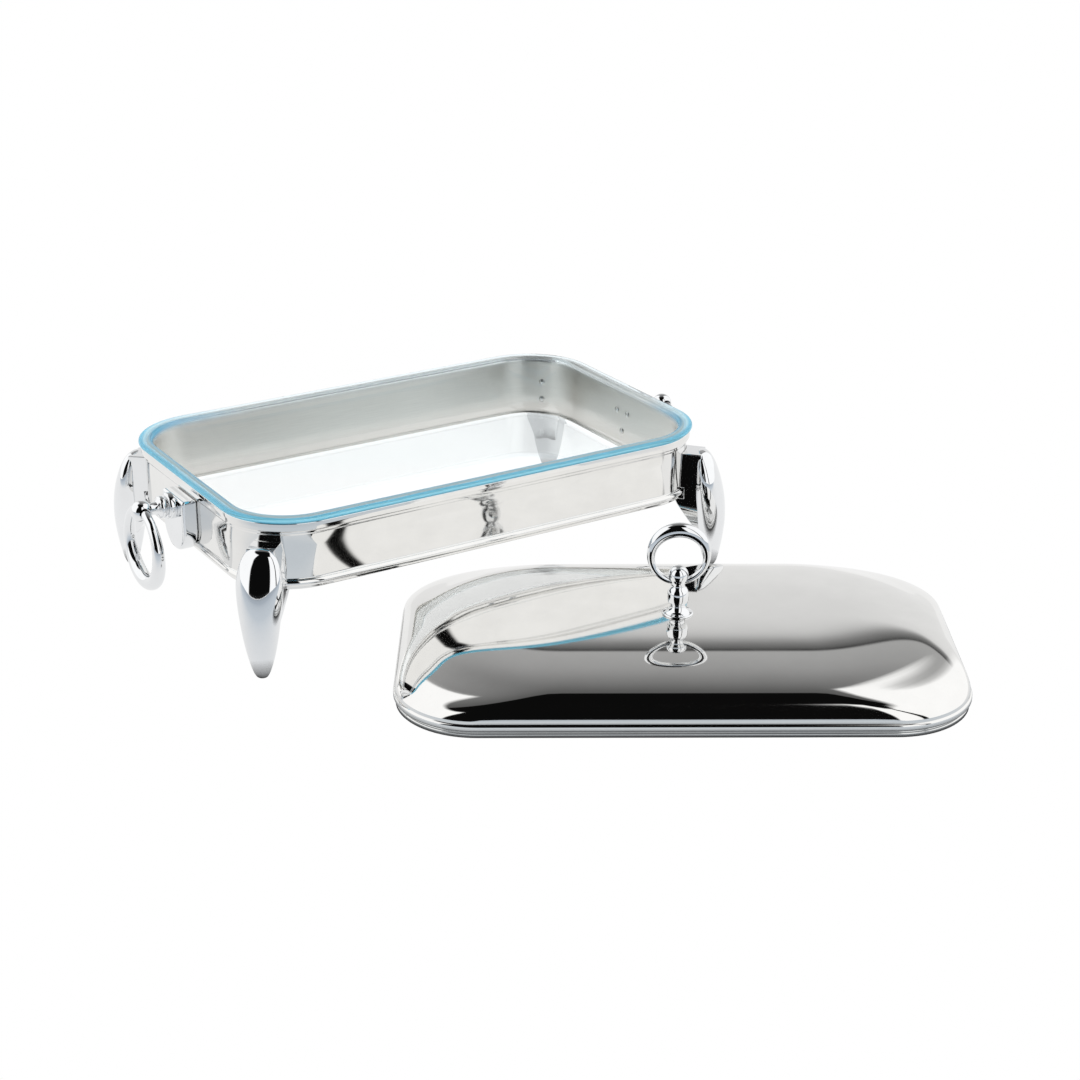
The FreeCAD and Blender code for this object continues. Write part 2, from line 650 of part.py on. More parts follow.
node(cut("band_drilled", make_band(), fuse("band_drills", band_drills)), "frame_band")
node(make_dish(), "glass_dish")
lid = make_lid()
place_lid(lid)
node(lid, "lid_shell")
for label, piece in make_knob().items():
    holder = doc.addObject("Part::Compound", label + "_placed")
    holder.Links = [piece]
    place_lid(holder)
    node(holder, label)
doc.recompute()

for item in doc.Objects:
    if "Invalid" in item.State or "Error" in item.State:
        raise ValueError(f"{item.Name} ({item.Label}) failed: {item.State}")
for item in NODES:
    if item.Shape.isNull() or not item.Shape.isValid() or not item.Shape.Solids:
        raise ValueError(f"{item.Label} is not a valid solid")
os.makedirs("parts", exist_ok=True)
for item in NODES:
    item.Shape.exportStep(f"parts/{item.Label}.step")
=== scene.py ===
import math

import bmesh
import bpy
from mathutils import Matrix, Vector


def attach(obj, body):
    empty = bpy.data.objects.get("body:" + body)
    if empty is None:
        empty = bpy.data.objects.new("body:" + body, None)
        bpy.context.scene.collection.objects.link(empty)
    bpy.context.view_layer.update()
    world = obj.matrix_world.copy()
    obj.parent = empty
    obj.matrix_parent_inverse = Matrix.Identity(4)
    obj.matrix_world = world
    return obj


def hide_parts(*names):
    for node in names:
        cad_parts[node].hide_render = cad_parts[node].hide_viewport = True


# Chafing dish: a glass dish in a polished steel frame on four cast legs, with a
# drop ring at each end, and its domed lid lying on the table in front.
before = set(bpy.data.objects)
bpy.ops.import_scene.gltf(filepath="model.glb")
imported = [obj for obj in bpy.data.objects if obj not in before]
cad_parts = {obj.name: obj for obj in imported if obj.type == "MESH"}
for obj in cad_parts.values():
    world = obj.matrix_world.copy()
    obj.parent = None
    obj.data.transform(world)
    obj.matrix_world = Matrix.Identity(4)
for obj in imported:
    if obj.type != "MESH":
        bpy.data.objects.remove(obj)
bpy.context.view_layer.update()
# profiles, levels and reaches are written in millimetres
MM = 0.001


# ---------------------------------------------------------------- studio

CAMERA_PLACE = (-0.7675, -1.4271, 0.6932)
CAMERA_TILT = math.radians(67.39)
CAMERA_TURN = math.radians(-31.65)
CAMERA_LENS = 73.07
CAMERA_SENSOR = 36.0
CAMERA_REACH = 50.0
FLOOR_SIZE, FLOOR_DROP = 14.0, 0.0003
# level direction from the object towards the camera and the dark hall behind it
TOWARDS_HALL = (-0.474, -0.881, 0.0)


def make_camera():
    lens = bpy.data.cameras.new("camera")
    lens.lens = CAMERA_LENS
    lens.sensor_width = CAMERA_SENSOR
    lens.clip_end = CAMERA_REACH
    camera = bpy.data.objects.new("camera", lens)
    camera.location = CAMERA_PLACE
    camera.rotation_euler = (CAMERA_TILT, 0.0, CAMERA_TURN)
    bpy.context.scene.collection.objects.link(camera)
    bpy.context.scene.camera = camera


class Nodes:
    """Shorthand for building a node tree."""

    def __init__(self, tree):
        self.tree = tree
        tree.nodes.clear()

    def add(self, kind, inputs=None, **settings):
        node = self.tree.nodes.new(kind)
        for name, value in settings.items():
            setattr(node, name, value)
        for key, value in (inputs or {}).items():
            self.feed(node.inputs[key], value)
        return node

    def feed(self, socket, value):
        if isinstance(value, bpy.types.NodeSocket):
            self.tree.links.new(value, socket)
        else:
            socket.default_value = value

    def math(self, operation, *values):
        node = self.add("ShaderNodeMath", operation=operation)
        for socket, value in zip(node.inputs, values):
            self.feed(socket, value)
        return node.outputs[0]

    def ramp(self, factor, stops):
        node = self.add("ShaderNodeValToRGB", {"Fac": factor})
        elements = node.color_ramp.elements
        while len(elements) < len(stops):
            elements.new(0.5)
        for element, (place, colour) in zip(elements, stops):
            element.position = place
            shade = colour if isinstance(colour, tuple) else (colour,) * 3
            element.color = (*shade, 1.0)
        return node.outputs["Color"]

    def mix(self, factor, first, second, blend="MIX"):
        node = self.add("ShaderNodeMix", data_type="RGBA", blend_type=blend)
        self.feed(node.inputs["Factor"], factor)
        self.feed(node.inputs["A"], first)
        self.feed(node.inputs["B"], second)
        return node.outputs["Result"]


def grey(value):
    return (value, value, value, 1.0)


# Glow of the hall from the horizon behind the object (0) over the top to the one
# in front of it (1): pale backdrop, dark edge, grey scrim, dark hall.
HALL = [
    (0.0, 0.88), (0.12, 0.84), (0.138, 0.78), (0.1406, 0.62), (0.1439, 0.40), (0.149, 0.22),
    (0.1567, 0.12), (0.1606, 0.03), (0.1633, 0.43), (0.183, 0.41), (0.228, 0.365),
    (0.30, 0.27), (0.394, 0.17), (0.43, 0.135), (0.470, 0.11), (0.474, 0.004), (0.985, 0.004),
    (1.0, 0.02)]
# Softboxes by bearing, 0.5 being the camera's own and half a turn to each side of
# it, with a narrow gap in the right-hand one.
SOFTBOXES = [
    (0.0, 0.0), (0.074, 0.0), (0.078, 1.0), (0.361, 1.0), (0.365, 0.0), (0.542, 0.0),
    (0.546, 1.0), (0.626, 1.0), (0.629, 0.0), (0.645, 0.0), (0.648, 1.0), (0.908, 1.0),
    (0.912, 0.0), (1.0, 0.0)]
SOFTBOX_TOP = [(0.0, 1.0), (0.86, 1.0), (0.885, 0.0)]
RIGHT_BOX_RAISED = [(0.60, 0.0), (0.70, 0.06)]
SOFTBOX_GLOW = 1.15
# Glow of the table by how far towards the hall, as a share of FALL_LENGTH metres.
FALL_LENGTH = 4.0
TABLE_FALL = [
    (0.0, 0.95), (0.045, 0.90), (0.09, (0.62, 0.67, 0.72)), (0.25, (0.45, 0.50, 0.56)),
    (1.0, (0.36, 0.40, 0.44))]
TABLE_THROUGH_GLASS = 1.12
# reach and sharpness of the contact shadow painted into the table's glow
CONTACT_REACH, CONTACT_POWER = 0.02, 3.0


def make_world():
    """Studio round the object: pale backdrop, grey scrim, dark hall, two softboxes."""
    world = bpy.data.worlds.new("studio")
    bpy.context.scene.world = world
    world.use_nodes = True
    nodes = Nodes(world.node_tree)
    direction = nodes.add("ShaderNodeTexCoord").outputs["Generated"]
    turned = nodes.add("ShaderNodeVectorRotate", {"Vector": direction, "Angle": -CAMERA_TURN},
                       rotation_type="Z_AXIS").outputs[0]
    parts = nodes.add("ShaderNodeSeparateXYZ", {"Vector": turned})
    across, back, up = parts.outputs
    # 0 at the horizon behind the object, 0.5 overhead, 1 at the horizon in front
    arch = nodes.math("DIVIDE", nodes.math("ARCTAN2", up, back), math.pi)
    hall = nodes.ramp(arch, HALL)
    # softboxes stand to the left and right of the camera, at different bearings
    bearing = nodes.math("ARCTAN2", across, nodes.math("MULTIPLY", back, -1.0))
    bearing = nodes.math("ADD", nodes.math("DIVIDE", bearing, 2 * math.pi), 0.5)
    in_side = nodes.ramp(bearing, SOFTBOXES)
    # the right-hand box reaches higher than the left-hand one
    lowered = nodes.math("SUBTRACT", up, nodes.ramp(bearing, RIGHT_BOX_RAISED))
    in_height = nodes.ramp(lowered, SOFTBOX_TOP)
    box = nodes.math("MULTIPLY", in_side, in_height)
    shade = nodes.mix(box, hall, grey(SOFTBOX_GLOW))
    seen = nodes.add("ShaderNodeLightPath").outputs["Is Camera Ray"]
    colour = nodes.mix(seen, shade, grey(1.0))
    surface = nodes.add("ShaderNodeBackground", {"Color": colour, "Strength": 1.0})
    nodes.add("ShaderNodeOutputWorld", {"Surface": surface.outputs[0]})


def make_floor():
    bpy.ops.mesh.primitive_plane_add(size=FLOOR_SIZE, location=(0, 0, -FLOOR_DROP))
    floor = bpy.context.object
    floor.name = "floor"
    material = bpy.data.materials.new("pale_table")
    material.use_nodes = True
    nodes = Nodes(material.node_tree)
    place = nodes.add("ShaderNodeTexCoord").outputs["Object"]
    # the table is bright round the object and falls off towards the dark hall
    distance = nodes.add("ShaderNodeVectorMath", {0: place, 1: TOWARDS_HALL},
                         operation="DOT_PRODUCT").outputs["Value"]
    fall = nodes.ramp(nodes.math("DIVIDE", distance, FALL_LENGTH), TABLE_FALL)
    # painted contact shadow: the table's glow darkens close under and beside whatever stands on
    # it
    open_sky = nodes.add("ShaderNodeAmbientOcclusion", {"Distance": CONTACT_REACH},
                         samples=8).outputs["AO"]
    fall = nodes.mix(1.0, fall, nodes.math("POWER", open_sky, CONTACT_POWER), "MULTIPLY")
    path = nodes.add("ShaderNodeLightPath").outputs
    # seen plainly, or through the glass, the table is white
    through = nodes.mix(path["Is Transmission Ray"], fall, grey(TABLE_THROUGH_GLASS))
    shade = nodes.mix(path["Is Camera Ray"], through, grey(1.0))
    glow = nodes.add("ShaderNodeEmission", {"Color": shade, "Strength": 1.0})
    nodes.add("ShaderNodeOutputMaterial", {"Surface": glow.outputs[0]})
    floor.data.materials.append(material)


# ---------------------------------------------------------------- finishes

def finish_metal(name, colour, rough, wear, grain=None):
    """Metal with a faint cloudiness in its polish; grain adds brushed lines."""
    material = bpy.data.materials.new(name)
    material.use_nodes = True
    nodes = Nodes(material.node_tree)
    place = nodes.add("ShaderNodeTexCoord").outputs["Object"]
    haze = nodes.add("ShaderNodeTexNoise", {"Vector": place, "Scale": 38.0, "Detail": 5.0,
                                            "Roughness": 0.6}).outputs["Fac"]
    speck = nodes.add("ShaderNodeTexNoise", {"Vector": place, "Scale": 900.0,
                                             "Detail": 2.0}).outputs["Fac"]
    tint = nodes.ramp(haze, [(0.35, tuple(c * 0.965 for c in colour)), (0.65, colour)])
    gloss = nodes.ramp(haze, [(0.3, rough), (0.75, rough + wear)])
    height = nodes.math("MULTIPLY", speck, 0.02)
    bump_strength, bump_distance = 0.02, 0.00005
    if grain:
        uv = nodes.add("ShaderNodeUVMap", uv_map="run").outputs["UV"]
        stretched = nodes.add("ShaderNodeMapping", {"Vector": uv, "Scale": grain})
        lines = nodes.add("ShaderNodeTexNoise", {"Vector": stretched.outputs[0], "Scale": 1.0,
                                                 "Detail": 6.0, "Roughness": 0.7}).outputs["Fac"]
        tint = nodes.mix(0.55, tint, nodes.ramp(lines, [
            (0.3, tuple(c * 0.72 for c in colour)), (0.7, colour)]))
        gloss = nodes.ramp(lines, [(0.3, rough), (0.75, rough + wear)])
        height = lines
        bump_strength, bump_distance = 0.35, 0.0001
    bump = nodes.add("ShaderNodeBump", {"Height": height, "Strength": bump_strength,
                                        "Distance": bump_distance})
    surface = nodes.add("ShaderNodeBsdfPrincipled", {
        "Base Color": tint, "Metallic": 1.0, "Roughness": gloss,
        "Normal": bump.outputs["Normal"]})
    nodes.add("ShaderNodeOutputMaterial", {"Surface": surface.outputs[0]})
    return material


# Glass rim by nearness to its outer edge: its colour, and how much is not clear. The colour is
# partly the glass's own blue-green, partly painted light: its pale and dark bands stand for
# light and shade seen through the rim.
RIM_TINT_AND_PAINTED_BANDS = [
    (0.0, (0.985, 0.995, 1.0)), (0.10, (0.12, 0.44, 0.66)), (0.25, (0.10, 0.42, 0.65)),
    (0.42, (0.50, 0.80, 0.90)), (0.62, (0.62, 0.88, 0.94)), (0.80, (0.16, 0.56, 0.75)),
    (1.0, (0.20, 0.62, 0.78))]
RIM_CAST = [(0.0, 0.0), (0.10, 0.60), (0.3, 0.60), (0.5, 0.40), (1.0, 0.45)]
# How much of that shows, from far behind the middle (0) to the hall's side (1): painted light,
# the rim's colour, cast and glow strong on the side towards the hall and camera.
RIM_PAINTED_SIDES = [(0.38, 0.14), (0.48, 1.0)]
# a small glow stands for the light carried along inside the glass
RIM_GLOW = 0.42
# pale colour painted on the rim's far sides
FAR_RIM_PAINTED_PALE = (0.96, 0.99, 1.0, 1.0)


def finish_glass(name):
    """Clear glass with a blue-green rim, where light has run along inside it."""
    material = bpy.data.materials.new(name)
    material.use_nodes = True
    nodes = Nodes(material.node_tree)
    place = nodes.add("ShaderNodeTexCoord").outputs["Object"]
    ripple = nodes.add("ShaderNodeTexNoise", {"Vector": place, "Scale": 22.0,
                                              "Detail": 2.0}).outputs["Fac"]
    bump = nodes.add("ShaderNodeBump", {"Height": ripple, "Strength": 0.03, "Distance": 0.001})
    gloss = nodes.ramp(ripple, [(0.3, 0.0), (0.8, 0.015)])
    rim = nodes.add("ShaderNodeAttribute", attribute_name="rim").outputs["Fac"]
    # painted light: the rim is all but clear along the far sides, and pale there
    side = nodes.add("ShaderNodeVectorMath", {0: place, 1: TOWARDS_HALL},
                     operation="DOT_PRODUCT").outputs["Value"]
    strength = nodes.ramp(nodes.math("MULTIPLY_ADD", side, 2.0, 0.5), RIM_PAINTED_SIDES)
    cloud = nodes.math("MULTIPLY_ADD", ripple, 0.5, -0.25)
    streaks = nodes.math("ADD", rim, nodes.math("MULTIPLY", cloud, rim))
    tint = nodes.mix(strength, FAR_RIM_PAINTED_PALE, nodes.ramp(streaks, RIM_TINT_AND_PAINTED_BANDS))
    cast = nodes.math("MULTIPLY", nodes.ramp(rim, RIM_CAST), strength)
    clear = nodes.math("SUBTRACT", 1.0, cast)
    glow = nodes.math("MULTIPLY", cast, RIM_GLOW)
    surface = nodes.add("ShaderNodeBsdfPrincipled", {
        "Base Color": tint, "Roughness": gloss, "IOR": 1.5,
        "Transmission Weight": clear, "Normal": bump.outputs["Normal"],
        "Emission Color": tint, "Emission Strength": glow})
    depth = nodes.add("ShaderNodeVolumeAbsorption", {
        "Color": (0.55, 0.90, 0.94, 1.0), "Density": 3.5})
    nodes.add("ShaderNodeOutputMaterial", {"Surface": surface.outputs[0],
                                           "Volume": depth.outputs[0]})
    return material


# ---------------------------------------------------------------- shapes

# no swept outline turns a corner tighter than this, in metres
TIGHTEST_CORNER = 0.002


def add_piece(name, mesh, body, *replaced, slot=None, materials=()):
    piece = bpy.data.objects.new(name, mesh)
    bpy.context.scene.collection.objects.link(piece)
    for material in materials:
        mesh.materials.append(material)
    for polygon in mesh.polygons:
        polygon.use_smooth = True
    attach(piece, body)
    if replaced:
        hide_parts(*replaced)
    return piece


def rounded_outline(length, width, corner, straight=18, bend=18):
    """Points anticlockwise round a rounded rectangle, as many for any size."""
    points = []
    half = (length / 2 - corner, width / 2 - corner)
    quarter = math.pi / 2
    spans = ((1, -1), (1, 1), (-1, 1), (-1, -1))
    for index, (side_x, side_y) in enumerate(spans):
        centre = Vector((side_x * half[0], side_y * half[1]))
        start = (index - 1) * quarter
        for step in range(bend):
            angle = start + quarter * step / bend
            points.append(centre + corner * Vector((math.cos(angle), math.sin(angle))))
        next_x, next_y = spans[(index + 1) % 4]
        far = Vector((next_x * half[0], next_y * half[1]))
        arc_end = start + quarter
        out = corner * Vector((math.cos(arc_end), math.sin(arc_end)))
        for step in range(straight):
            points.append((centre + out).lerp(far + out, step / straight))
    return points


def bridge(rings, closed=False, cap_first=False, cap_last=False):
    """Mesh of quads between rings of points; UV map "run" goes along and up."""
    build = bmesh.new()
    loops = [[build.verts.new(point) for point in ring] for ring in rings]
    run = build.loops.layers.uv.new("run")
    count = len(rings[0])
    pairs = list(zip(range(len(loops)), range(1, len(loops))))
    if closed:
        pairs.append((len(loops) - 1, 0))
    for low, high in pairs:
        walked = 0.0
        for index in range(count):
            following = (index + 1) % count
            step = (rings[low][following] - rings[low][index]).length
            face = build.faces.new((loops[low][index], loops[low][following],
                                    loops[high][following], loops[high][index]))
            spots = ((walked, low), (walked + step, low), (walked + step, high), (walked, high))
            for corner, (along, level) in zip(face.loops, spots):
                corner[run].uv = (along, rings[level][0].z)
            walked += step
    if cap_first:
        build.faces.new(reversed(loops[0]))
    if cap_last:
        build.faces.new(loops[-1])
    bmesh.ops.remove_doubles(build, verts=build.verts, dist=1e-7)
    bmesh.ops.recalc_face_normals(build, faces=build.faces)
    mesh = bpy.data.meshes.new("piece")
    build.to_mesh(mesh)
    build.free()
    return mesh


def swept(profile, length, width, corner, **options):
    """Rings for a profile of (outset, height) carried round a rounded rectangle."""
    rings = []
    for out, height in profile:
        outline = rounded_outline(length + 2 * out, width + 2 * out,
                                  max(corner + out, TIGHTEST_CORNER), **options)
        rings.append([Vector((x, y, height)) for x, y in outline])
    return rings


def arc(centre, radius, start, end, steps=8):
    """Points of an arc in a profile, angles in degrees."""
    points = []
    for step in range(steps + 1):
        angle = math.radians(start + (end - start) * step / steps)
        points.append((centre[0] + radius * math.cos(angle),
                       centre[1] + radius * math.sin(angle)))
    return points


def smooth_through(points, steps):
    """Points on a smooth curve through the ones given, of any number of values."""
    result = []
    last = len(points) - 1
    for index in range(last):
        before = points[max(index - 1, 0)]
        start, end = points[index], points[index + 1]
        after = points[min(index + 2, last)]
        for step in range(steps):
            t = step / steps
            result.append(tuple(
                0.5 * (2 * b + (c - a) * t + (2 * a - 5 * b + 4 * c - d) * t ** 2
                       + (3 * b - a - 3 * c + d) * t ** 3)
                for a, b, c, d in zip(before, start, end, after)))
    result.append(tuple(points[-1]))
    return result


def turned(profile, sides=72):
    """Rings of a spun shape about Z for a profile of (radius, height)."""
    rings = []
    for radius, height in profile:
        rings.append([Vector((radius * math.cos(a), radius * math.sin(a), height))
                      for a in (2 * math.pi * side / sides for side in range(sides))])
    return rings


def moved(rings, matrix):
    return [[matrix @ point for point in ring] for ring in rings]


def in_metres(profile):
    return [tuple(value * MM for value in point) for point in profile]


def convert(piece):
    """Apply the modifiers of a piece and leave a plain mesh in their place."""
    bpy.context.view_layer.update()
    graph = bpy.context.evaluated_depsgraph_get()
    mesh = bpy.data.meshes.new_from_object(piece.evaluated_get(graph))
    piece.modifiers.clear()
    piece.data = mesh


def smooth_faces(mesh, sharp_from):
    mesh.shade_smooth()
    mesh.set_sharp_from_angle(angle=math.radians(sharp_from))


# ---------------------------------------------------------------- band and glass

# length, width and corner radius of the band and of the dish's rim, in metres
BAND = (0.3916, 0.2436, 0.051)
DISH_RIM = (0.4, 0.252, 0.0552)
BAND_LOW, BAND_TOP, BAND_SHEET = 59.0, 111.2, 1.2
# place of the brushed finish among the band's materials, and how squarely a face
# has to look inwards to get it
BRUSHED, INWARD_SHARE = 1, 0.3
DISH_TOP, FLANGE_LOW, DISH_UNDER, DISH_FLOOR = 114.5, 111.3, 64.5, 4.2
# how far the dish's walls lean in over their height
WALL_LEAN = 9.0
# how far in from its edge the rim is tinted, and from what height up, in metres
RIM_TINT_WIDTH, RIM_TINT_LOW = 0.012, 0.1111


def band_profile():
    """Section of the band from its bottom lip up the outside and down the inside."""
    outside = [(-5.0, BAND_LOW + 0.3), (-4.7, BAND_LOW)]
    outside += arc((-0.9, BAND_LOW + 0.9), 0.9, -90, 0, 5)
    outside += arc((-0.3, 64.1), 2.9, -80, 80, 14)
    outside += [(0.0, 67.4), (0.0, 68.0), (0.0, 75.0), (0.0, 92.0), (0.0, 100.4)]
    outside += [(0.15, 101.1), (0.75, 101.6), (0.9, 102.2), (0.9, 103.2), (1.1, 103.8)]
    outside += arc((0.9, 107.4), 3.4, -62, 90, 14)[1:-1]
    # the face of the top bead is pressed almost flat
    outside = [(min(out, 2.6 - 0.05 * abs(height - 107.5)), height)
               if height > 104 else (out, height) for out, height in outside]
    outside += [(0.9, 110.95), (-0.4, BAND_TOP), (-0.9, BAND_TOP)]
    inside = [(-BAND_SHEET, height)
              for height in (BAND_TOP - 0.3, 109.0, 100.0, 85.0, 70.0, 62.0)]
    inside += arc((-2.1, BAND_LOW + 2.1), 0.9, 0, -90, 4)
    inside += [(-4.7, BAND_LOW + BAND_SHEET), (-5.0, BAND_LOW + 0.9)]
    return in_metres(outside), in_metres(inside)


def core_offset(point, rim):
    """How far a point lies out past the core of a rounded rectangle, along X and Y."""
    length, width, corner = rim
    return Vector((max(abs(point.x) - (length / 2 - corner), 0),
                   max(abs(point.y) - (width / 2 - corner), 0)))


def make_band(polished, brushed):
    outside, inside = band_profile()
    rings = swept(outside + inside, *BAND, straight=8, bend=24)
    mesh = bridge(rings, closed=True)
    add_piece("band", mesh, "frame", "frame_band", slot="polished_steel",
              materials=(polished, brushed))
    # the brushed faces are those that look inwards
    for polygon in mesh.polygons:
        offset = core_offset(polygon.center, BAND)
        outward = Vector((math.copysign(offset.x, polygon.center.x),
                          math.copysign(offset.y, polygon.center.y), 0))
        if polygon.normal.dot(outward) < -INWARD_SHARE * outward.length:
            polygon.material_index = BRUSHED
    smooth_faces(mesh, 50)


def outer_wall(height):
    """Inset of the glass wall's outside from the rim's edge, leaning in as it drops."""
    return -(6.3 + (112.9 - height) * WALL_LEAN / 48.4)


def inner_wall(height):
    """Inset of the glass wall's inside from the rim's edge."""
    return -(10.5 + (DISH_TOP - height) * WALL_LEAN / 45.8)


def make_dish(glass):
    """Pressed glass: one closed skin from the outer floor round to the inner one."""
    top, low, under = DISH_TOP, FLANGE_LOW, DISH_UNDER
    inner = under + DISH_FLOOR
    profile = [(-60.0, under), (-29.0, under), (-27.5, under)]
    profile += arc((outer_wall(under + 13) - 13.4, under + 13), 13, -90, -12, 10)
    profile += [(outer_wall(height), height) for height in (80, 90, 100, 107)]
    profile += [(outer_wall(109.6), 109.6), (outer_wall(110.6) + 0.7, 110.7)]
    profile += [(-4.6, low), (-2.4, low)]
    profile += arc((-1.5, low + 1.5), 1.5, -90, 0, 6) + arc((-1.5, top - 1.5), 1.5, 0, 90, 6)
    profile += [(-3.5, top), (-7.6, top)]
    profile += arc((inner_wall(top - 2.6) + 2.7, top - 2.6), 2.6, 90, 176, 7)
    profile += [(inner_wall(height), height) for height in (108, 100, 90, 82)]
    profile += arc((inner_wall(inner + 9) - 9.2, inner + 9), 9, -10, -90, 9)
    profile += [(-30.5, inner), (-32.0, inner), (-60.0, inner)]
    rings = swept(in_metres(profile), *DISH_RIM, straight=10, bend=24)
    mesh = bridge(rings, cap_first=True, cap_last=True)
    # the attribute runs from 0 inside the flange to 1 at the rim's outer edge
    nearness = mesh.attributes.new("rim", "FLOAT", "POINT")
    for vertex, item in zip(mesh.vertices, nearness.data):
        inset = DISH_RIM[2] - core_offset(vertex.co, DISH_RIM).length
        on_flange = vertex.co.z > RIM_TINT_LOW
        item.value = min(max(1 - inset / RIM_TINT_WIDTH, 0), 1) if on_flange else 0.0
    add_piece("dish", mesh, "dish", "glass_dish", slot="clear_glass", materials=(glass,))


# ---------------------------------------------------------------- legs

# Tusk sections from the top down: height, inner reach, outer reach, half width.
LEG_SECTIONS = (
    (96.0, 62.6, 64.8, 2.6), (95.2, 61.2, 67.2, 6.6), (93.0, 60.4, 70.0, 10.0),
    (89.5, 59.8, 72.6, 12.8), (83.0, 59.5, 75.9, 15.4), (71.0, 59.0, 80.0, 17.4),
    (57.0, 59.0, 83.0, 16.6), (42.0, 60.0, 84.0, 14.6), (28.0, 62.0, 83.0, 12.4),
    (15.0, 64.8, 81.0, 9.6), (5.5, 67.6, 78.9, 6.6), (1.4, 69.4, 77.2, 4.6),
    (0.2, 70.6, 76.2, 3.3), (0.0, 71.2, 75.6, 2.6),
)
# Lug behind the leg: half widths by height, and its underside as reach, height.
LUG_WIDTHS = ((95.5, 10.4), (85.0, 12.0), (72.0, 13.2), (58.0, 13.4), (45.0, 11.4), (30.0, 9.0))
LUG_TOP, LUG_SLICES, LUG_EDGE = 95.5, 9, 0.9
LUG_FACE, LUG_BEAD_FACE = 51.02, 54.2
LUG_BEAD_LOW, LUG_BEAD_TOP = 58.8, 67.6
LUG_UNDERSIDE = (
    (63.0, 30.0), (60.0, 34.0), (56.0, 40.0), (51.4, 47.0), (47.4, 53.4), (45.0, 58.8))
TUSK_SIDES = 56
# middle of the band's corner arc, from which each leg reaches out
ARC_CENTRE = (144.8, 70.8)
CORNERS = {"front_left": (-1, -1), "front_right": (1, -1),
           "back_left": (-1, 1), "back_right": (1, 1)}


def leg_place(side_x, side_y):
    """Place of one leg, whose own X axis reaches out of the band's corner."""
    turn = math.atan2(side_y, side_x)
    centre = Vector((side_x * ARC_CENTRE[0], side_y * ARC_CENTRE[1], 0)) * MM
    return Matrix.Translation(centre) @ Matrix.Rotation(turn, 4, "Z")


def tusk_rings():
    rings = []
    for height, inner, outer, half in smooth_through(LEG_SECTIONS, 5):
        middle, reach = (inner + outer) / 2, (outer - inner) / 2
        ring = []
        for side in range(TUSK_SIDES):
            angle = 2 * math.pi * side / TUSK_SIDES
            ring.append(Vector((middle + reach * math.cos(angle), half * math.sin(angle),
                                height)) * MM)
        rings.append(ring)
    return rings


def between(table, height):
    """Value at a height in a table of (height, value), highest first."""
    for (high, above), (low, below) in zip(table, table[1:]):
        if height >= low:
            share = min((high - height) / (high - low), 1)
            return above + (below - above) * max(share, 0)
    return table[-1][1]


def lug_rings():
    """Slices of the lug from side to side, cut to the band it is riveted to."""
    outline = [("face", LUG_TOP), ("face", 90.0), ("face", 80.0), ("face", LUG_BEAD_TOP),
               ("bead", LUG_BEAD_TOP), ("bead", LUG_BEAD_LOW)]
    outline += reversed(smooth_through(LUG_UNDERSIDE, 4))
    outline += [(68.5, 32.0), (69.0, 45.0), (69.0, 60.0), (68.0, 80.0), (65.5, LUG_TOP - 0.5)]
    rings = []
    for index in range(LUG_SLICES):
        ring = []
        for reach, height in outline:
            across = between(LUG_WIDTHS, height) * (2 * index / (LUG_SLICES - 1) - 1)
            if reach == "face":
                reach = math.sqrt(LUG_FACE ** 2 - across ** 2)
            elif reach == "bead":
                reach = math.sqrt(LUG_BEAD_FACE ** 2 - across ** 2)
            ring.append(Vector((reach, across, height)) * MM)
        rings.append(ring)
    return rings


def make_legs(chrome):
    for corner, (side_x, side_y) in CORNERS.items():
        place = leg_place(side_x, side_y)
        tusk = bridge(moved(tusk_rings(), place), cap_first=True, cap_last=True)
        add_piece("leg_" + corner, tusk, "frame", "leg_" + corner,
                  slot="chromed_casting", materials=(chrome,))
        lug = bridge(moved(lug_rings(), place), cap_first=True, cap_last=True)
        piece = add_piece("leg_lug_" + corner, lug, "frame", slot="chromed_casting",
                          materials=(chrome,))
        soften_edges(piece, LUG_EDGE)


def soften_edges(piece, radius, steps=3):
    bevel = piece.modifiers.new("edges", "BEVEL")
    bevel.width = radius * MM
    bevel.segments = steps
    bevel.limit_method = "ANGLE"
    bevel.angle_limit = math.radians(38)
    bevel.harden_normals = True
    convert(piece)


# ---------------------------------------------------------------- end handles

WALL_X, BRACKET_THICK = 195.8, 12.0
SHIELD_HALF, SHIELD_TOP, SHIELD_BEND, SHIELD_EDGE = 19.0, 100.6, 77.0, 2.4
BALL_X, BALL_Z, BALL_RADIUS, EYE_RADIUS = 232.0, 93.2, 8.0, 4.2
# ring: radius of its path, and of its section at the top, the sides and the bottom
RING_PATH, RING_SIZES, RING_PLAY = 28.0, (3.4, 4.6, 5.8), 0.4
RING_SECTIONS, RING_SIDES = 96, 32
DRILL_HALF = 20.0


def make_ring(name, body, node, path, sizes, centre, standing, chrome):
    """Ring of round section that grows thicker or thinner from top to bottom."""
    top, side, low = sizes
    rings = []
    for index in range(RING_SECTIONS):
        angle = 2 * math.pi * index / RING_SECTIONS
        radius = ((top + low + 2 * side) / 4 + (top - low) / 2 * math.cos(angle)
                  + (top + low - 2 * side) / 4 * math.cos(2 * angle))
        out = Vector((0, math.sin(angle), math.cos(angle)))
        spot = out * path
        ring = []
        for turn in (2 * math.pi * step / RING_SIDES for step in range(RING_SIDES)):
            ring.append((spot + radius * (math.cos(turn) * out
                                          + math.sin(turn) * Vector((1, 0, 0)))) * MM)
        rings.append(ring)
    place = Matrix.Translation(Vector(centre) * MM) @ standing
    mesh = bridge(moved(rings, place), closed=True)
    add_piece(name, mesh, body, node, slot="chromed_casting", materials=(chrome,))


